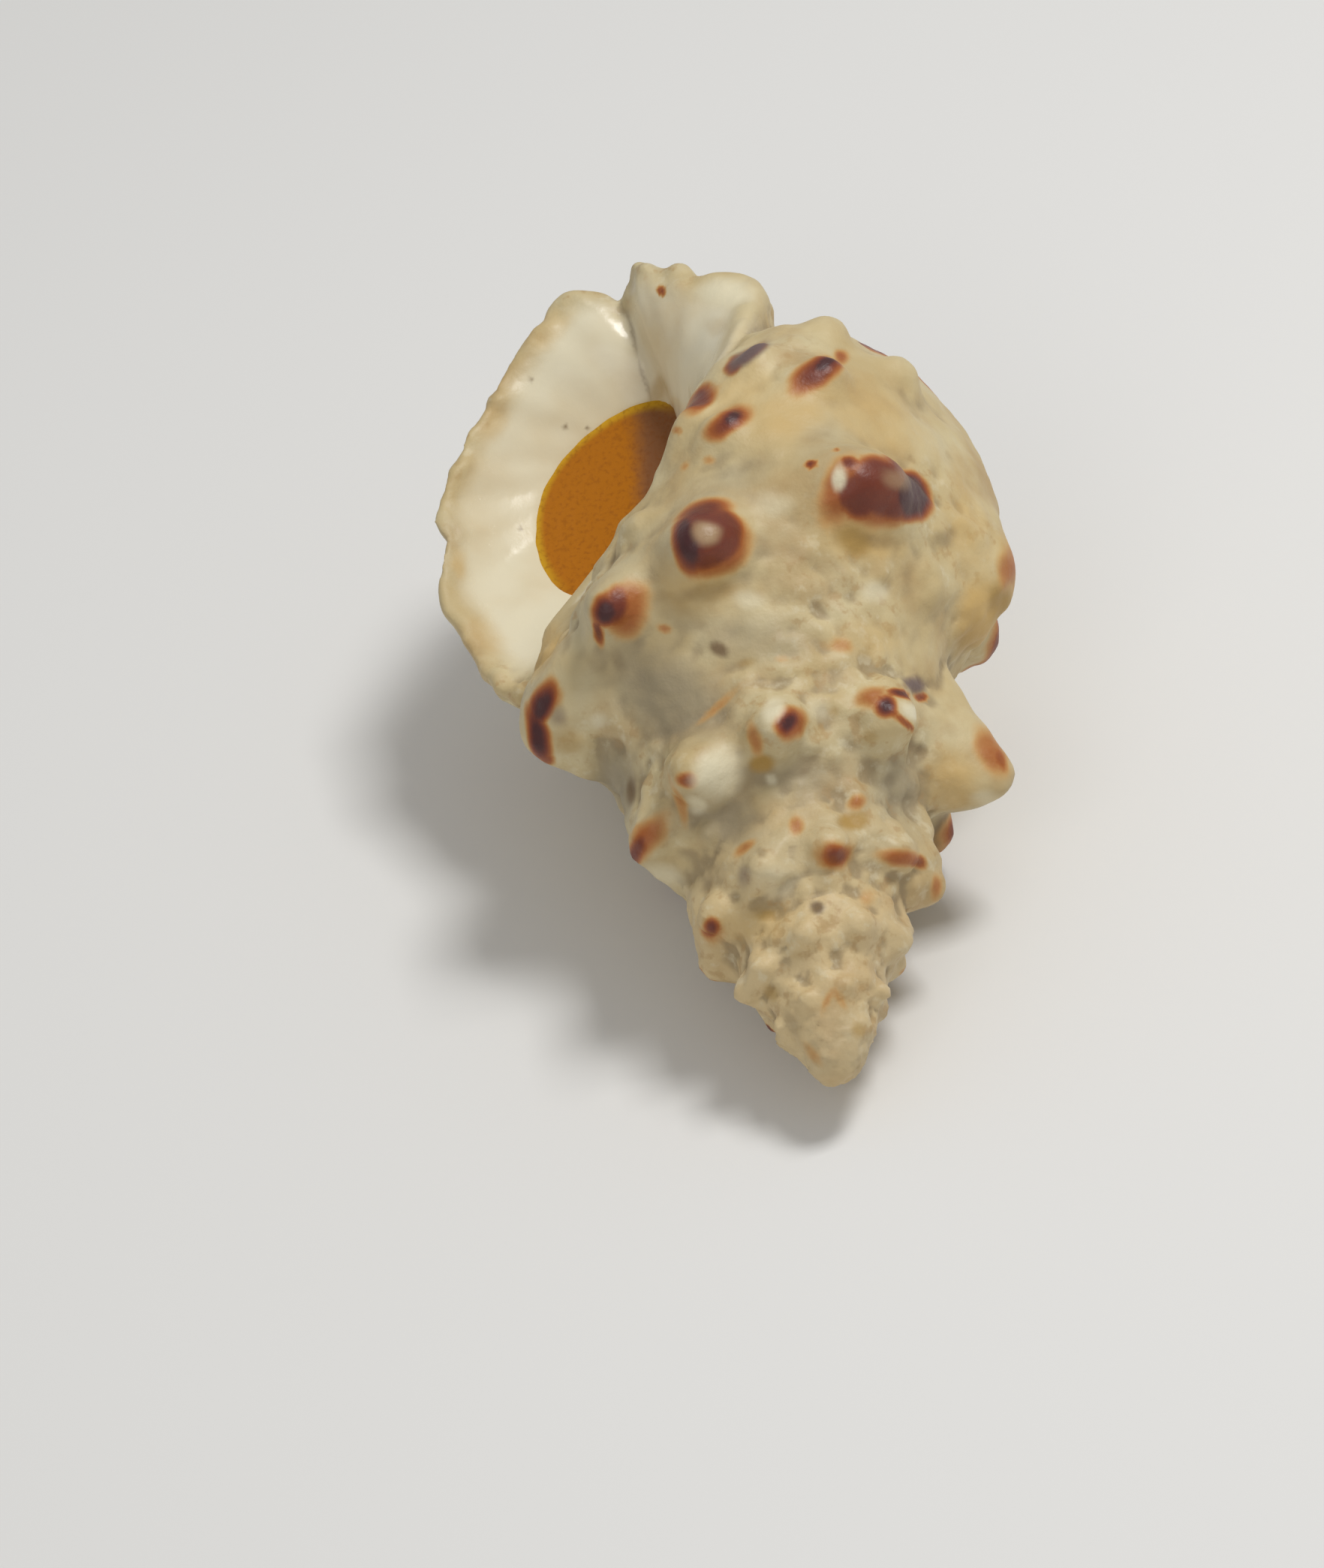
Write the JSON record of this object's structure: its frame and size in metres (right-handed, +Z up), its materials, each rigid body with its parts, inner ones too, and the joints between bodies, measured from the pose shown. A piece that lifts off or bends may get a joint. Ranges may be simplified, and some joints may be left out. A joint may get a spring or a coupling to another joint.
{
  "type": "warty frog shell",
  "caption": "Dextral sea-snail shell with a knobbed spire, flared folded lip, siphonal fan and a horny plate closing the mouth.",
  "frame": {"origin": "centre of the bounding box at the level of the three worn flats that the shell rests on", "axes": "+Z up with the shell lying on its back and its mouth upwards; the spire points to -Y, the siphonal canal to +Y, and the flared lip is on the -X side"},
  "size_m": [0.0342, 0.0598, 0.0288],
  "materials": {
    "shell": "cream shell with chestnut spots on its knobs, satin outside and porcelain gloss on the lip",
    "horn": "velvety orange-brown horn"
  },
  "bodies": {
    "root": {"shell": "shell", "operculum": "horn"}
  },
  "joints": []
}
